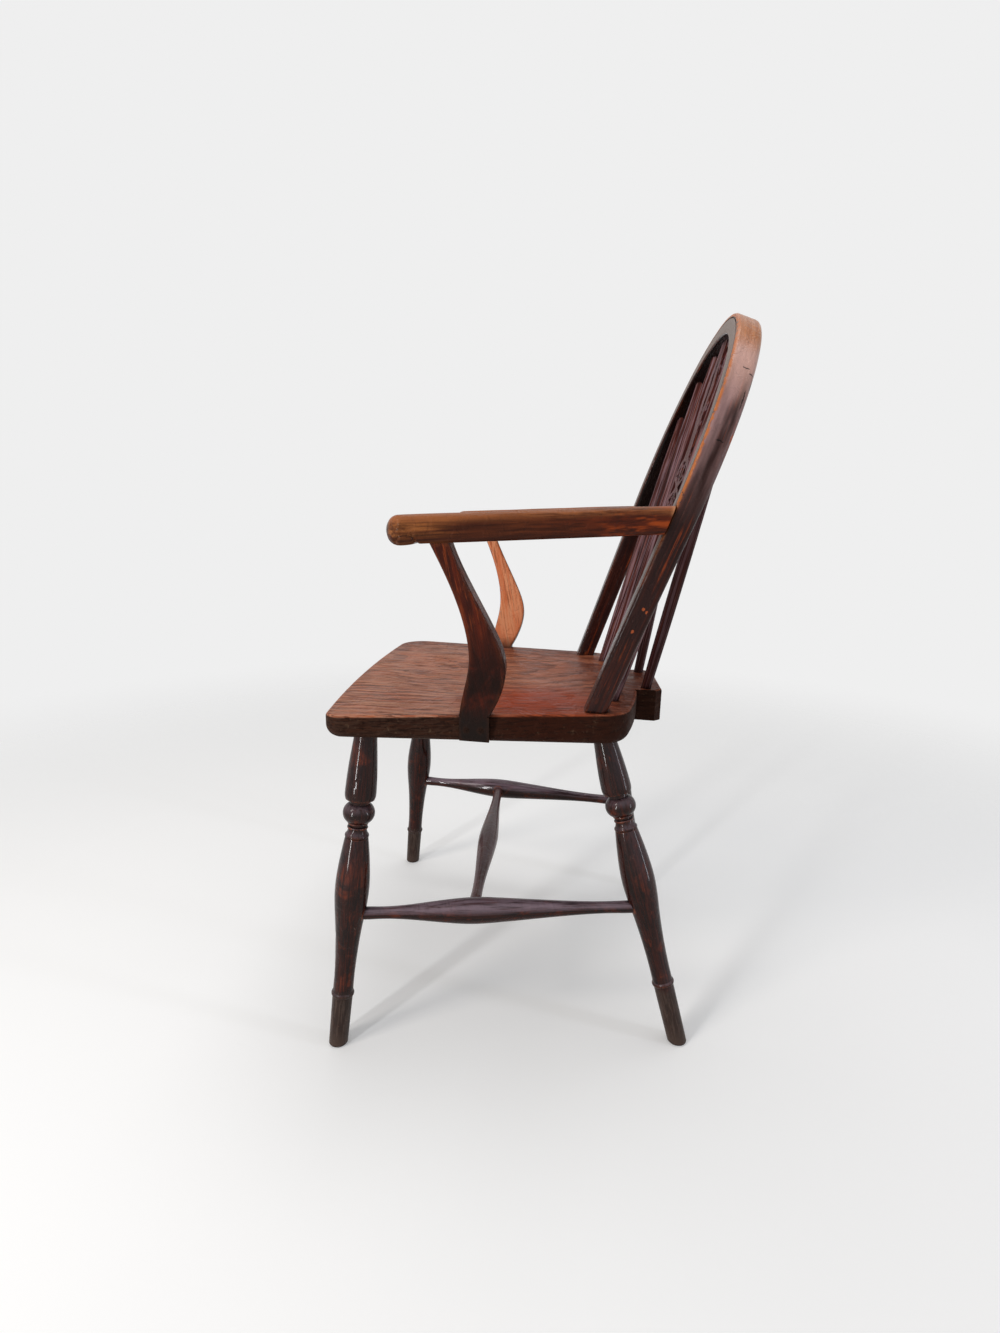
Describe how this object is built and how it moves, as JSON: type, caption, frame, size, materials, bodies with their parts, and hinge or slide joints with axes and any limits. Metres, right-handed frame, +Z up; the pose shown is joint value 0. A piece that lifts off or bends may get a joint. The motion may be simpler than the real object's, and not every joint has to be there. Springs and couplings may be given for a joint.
{
  "type": "wheelback armchair",
  "caption": "Wooden armchair with a bent bow back, pierced wheel splat, turned sticks, legs and stretchers, shaped arms and a saddled plank seat.",
  "frame": {"origin": "on the floor, at the middle of the chair's bounding box from above", "axes": "+Z up, the chair faces -Y and +X is the sitter's left"},
  "size_m": [0.559, 0.5042, 0.9105],
  "materials": {
    "seat": "waxed dark elm, worn shine",
    "leg": "waxed dark red-brown turned wood, scuffed feet",
    "stretcher": "waxed dark red-brown turned wood",
    "bow": "waxed bent wood, worn tan on its edges",
    "splat": "waxed sawn wood",
    "stick": "waxed turned wood",
    "brace": "waxed turned wood, nearly black",
    "arm": "waxed wood, worn orange-brown on top",
    "support": "waxed sawn wood, darker at the seat",
    "peg": "plain wood inside the joints"
  },
  "bodies": {
    "root": {"arm_left": "arm", "arm_right": "arm", "arm_support_left": "support", "arm_support_right": "support", "back_leg_left": "leg", "back_leg_right": "leg", "back_stick_1_left": "stick", "back_stick_1_right": "stick", "back_stick_2_left": "stick", "back_stick_2_right": "stick", "back_stick_3_left": "stick", "back_stick_3_right": "stick", "bow": "bow", "bow_wedges": "peg", "brace_stick_left": "brace", "brace_stick_right": "brace", "cross_stretcher": "stretcher", "front_leg_left": "leg", "front_leg_right": "leg", "seat": "seat", "side_stretcher_left": "stretcher", "side_stretcher_right": "stretcher", "support_pegs": "peg", "wheel_splat": "splat"}
  },
  "joints": []
}
